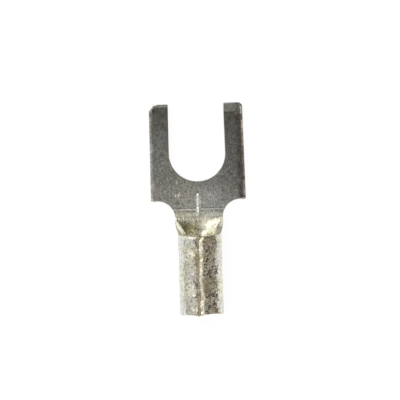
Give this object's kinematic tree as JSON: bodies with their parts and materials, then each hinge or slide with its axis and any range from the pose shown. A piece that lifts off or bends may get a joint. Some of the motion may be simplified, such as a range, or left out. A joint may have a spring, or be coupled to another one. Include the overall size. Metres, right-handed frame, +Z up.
{
  "type": "fork terminal",
  "caption": "Bare fork terminal of tinned copper sheet: a flat slotted tongue for a screw stud, necking into a rolled barrel, butted along its top, that is crimped onto stranded wire.",
  "frame": {"origin": "centre of the stud's round seat, on the underside of the tongue", "axes": "+Y from the stud to the tips of the fork, the wire leaves along -Y, +Z up out of the tongue's top face, on the seam's side"},
  "size_m": [0.0088, 0.0194, 0.004],
  "materials": {
    "tinned_copper": "tin plate over copper: semi-bright, mottled and finely scratched from tumbling, warmer inside the bowl and at cut edges"
  },
  "bodies": {
    "root": {"terminal": "tinned_copper"}
  },
  "joints": []
}
